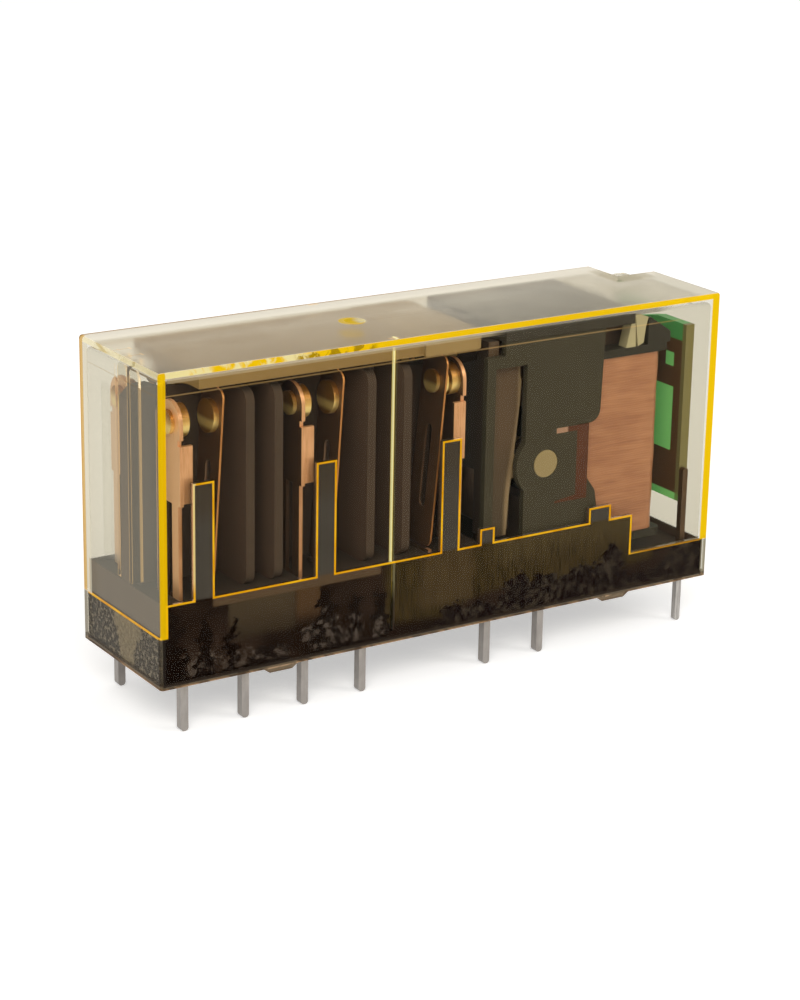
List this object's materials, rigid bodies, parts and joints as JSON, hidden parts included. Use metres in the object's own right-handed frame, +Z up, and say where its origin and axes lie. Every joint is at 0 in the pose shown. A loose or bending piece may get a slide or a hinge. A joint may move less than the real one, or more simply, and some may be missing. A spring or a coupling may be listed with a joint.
{
  "type": "pcb power relay",
  "caption": "Slim sealed circuit-board relay in a clear amber cover, with leaf contacts in rows on both sides, a pushing comb, a rocking armature and an upright coil.",
  "frame": {"origin": "middle of the relay's outline in the plane of the circuit board it stands on, where the feet of the cover rest", "axes": "+Z up out of the board, pins down; +X along the length towards the coil end; -Y is the long side with the first row of pins"},
  "size_m": [0.05, 0.0126, 0.0276],
  "materials": {
    "clear_cover": "clear fluorescent yellow polycarbonate with a faint frost",
    "base_plastic": "black glass-filled thermoplastic",
    "resin": "dark potting resin, uneven",
    "terminal_copper": "bare copper alloy strip, satin, pins tinned",
    "spring_copper": "rolled copper beryllium, satin",
    "contact_gold": "gold-flashed silver contact, polished",
    "frame_plastic": "dark grey moulded plastic",
    "bracket_iron": "brown moulded clip",
    "yoke_iron": "annealed magnet iron, brown tint",
    "bobbin_plastic": "black moulded bobbin",
    "coil_wire": "enamelled copper wire, wound in layers",
    "ivory_plastic": "ivory moulded plastic",
    "bar_plastic": "black moulded bar",
    "pin_tin": "tinned, satin grey",
    "board_laminate": "green solder mask over brown copper planes",
    "rocker_plastic": "dark brown moulded carrier",
    "armature_iron": "polished armature iron with a brown tint",
    "cream_plastic": "cream moulded plastic"
  },
  "bodies": {
    "housing": {"cover": "clear_cover", "base": "base_plastic", "sealing_resin": "resin", "fixed_terminal_front_1": "terminal_copper", "fixed_contact_front_1": "contact_gold", "spring_terminal_front_1": "terminal_copper", "fixed_terminal_front_2": "terminal_copper", "fixed_contact_front_2": "contact_gold", "spring_terminal_front_2": "terminal_copper", "fixed_terminal_front_3": "terminal_copper", "fixed_contact_front_3": "contact_gold", "spring_terminal_front_3": "terminal_copper", "fixed_terminal_back_1": "terminal_copper", "fixed_contact_back_1": "contact_gold", "spring_terminal_back_1": "terminal_copper", "fixed_terminal_back_2": "terminal_copper", "fixed_contact_back_2": "contact_gold", "spring_terminal_back_2": "terminal_copper", "fixed_terminal_back_3": "terminal_copper", "fixed_contact_back_3": "contact_gold", "spring_terminal_back_3": "terminal_copper", "bearing_frame": "frame_plastic", "side_bracket_front": "bracket_iron", "side_bracket_back": "bracket_iron", "upper_yoke": "yoke_iron", "lower_yoke": "yoke_iron", "core": "yoke_iron", "coil_bobbin": "bobbin_plastic", "coil_winding": "coil_wire", "clamp_prong_front_1": "ivory_plastic", "clamp_prong_front_2": "ivory_plastic", "clamp_prong_back_1": "ivory_plastic", "clamp_prong_back_2": "ivory_plastic", "retainer_bar": "bar_plastic", "coil_pin_front": "pin_tin", "coil_pin_back": "pin_tin", "circuit_board": "board_laminate"},
    "armature": {"rocker": "rocker_plastic", "armature_plate": "armature_iron", "pivot_pin": "cream_plastic"},
    "comb": {"actuator_comb": "cream_plastic"},
    "spring_front_1": {"contact_spring_front_1": "spring_copper", "moving_contact_front_1": "contact_gold"},
    "spring_front_2": {"contact_spring_front_2": "spring_copper", "moving_contact_front_2": "contact_gold"},
    "spring_front_3": {"contact_spring_front_3": "spring_copper", "moving_contact_front_3": "contact_gold"},
    "spring_back_1": {"contact_spring_back_1": "spring_copper", "moving_contact_back_1": "contact_gold"},
    "spring_back_2": {"contact_spring_back_2": "spring_copper", "moving_contact_back_2": "contact_gold"},
    "spring_back_3": {"contact_spring_back_3": "spring_copper", "moving_contact_back_3": "contact_gold"}
  },
  "joints": [
    {"name": "armature_hinge", "type": "hinge", "parent": "housing", "child": "armature", "pos_m": [0.009, 0, 0.01215], "axis": [0, -1, 0], "range_deg": [0, 11]},
    {"name": "comb_slide", "type": "slide", "parent": "housing", "child": "comb", "axis": [-1, 0, 0], "range_m": [0, 0.002], "stiffness_N_per_m": 200},
    {"name": "spring_hinge_front_1", "type": "hinge", "parent": "housing", "child": "spring_front_1", "pos_m": [-0.02015, -0.0036, 0.00685], "axis": [0, -1, 0], "range_deg": [0, 7.24]},
    {"name": "spring_hinge_front_2", "type": "hinge", "parent": "housing", "child": "spring_front_2", "pos_m": [-0.01015, -0.0036, 0.00685], "axis": [0, -1, 0], "range_deg": [0, 7.24]},
    {"name": "spring_hinge_front_3", "type": "hinge", "parent": "housing", "child": "spring_front_3", "pos_m": [-0.0014, -0.0036, 0.00685], "axis": [0, -1, 0], "range_deg": [0, 7.24]},
    {"name": "spring_hinge_back_1", "type": "hinge", "parent": "housing", "child": "spring_back_1", "pos_m": [-0.02015, 0.0036, 0.00685], "axis": [0, -1, 0], "range_deg": [0, 7.24]},
    {"name": "spring_hinge_back_2", "type": "hinge", "parent": "housing", "child": "spring_back_2", "pos_m": [-0.01015, 0.0036, 0.00685], "axis": [0, -1, 0], "range_deg": [0, 7.24]},
    {"name": "spring_hinge_back_3", "type": "hinge", "parent": "housing", "child": "spring_back_3", "pos_m": [-0.0014, 0.0036, 0.00685], "axis": [0, -1, 0], "range_deg": [0, 7.24]}
  ],
  "couplings": [
    {"joint": "armature_hinge", "follows": "comb_slide", "rad_per_m": 96.015},
    {"joint": "spring_hinge_front_1", "follows": "comb_slide", "rad_per_m": 63.171},
    {"joint": "spring_hinge_front_2", "follows": "comb_slide", "rad_per_m": 63.171},
    {"joint": "spring_hinge_front_3", "follows": "comb_slide", "rad_per_m": 63.171},
    {"joint": "spring_hinge_back_1", "follows": "comb_slide", "rad_per_m": 63.171},
    {"joint": "spring_hinge_back_2", "follows": "comb_slide", "rad_per_m": 63.171},
    {"joint": "spring_hinge_back_3", "follows": "comb_slide", "rad_per_m": 63.171}
  ]
}
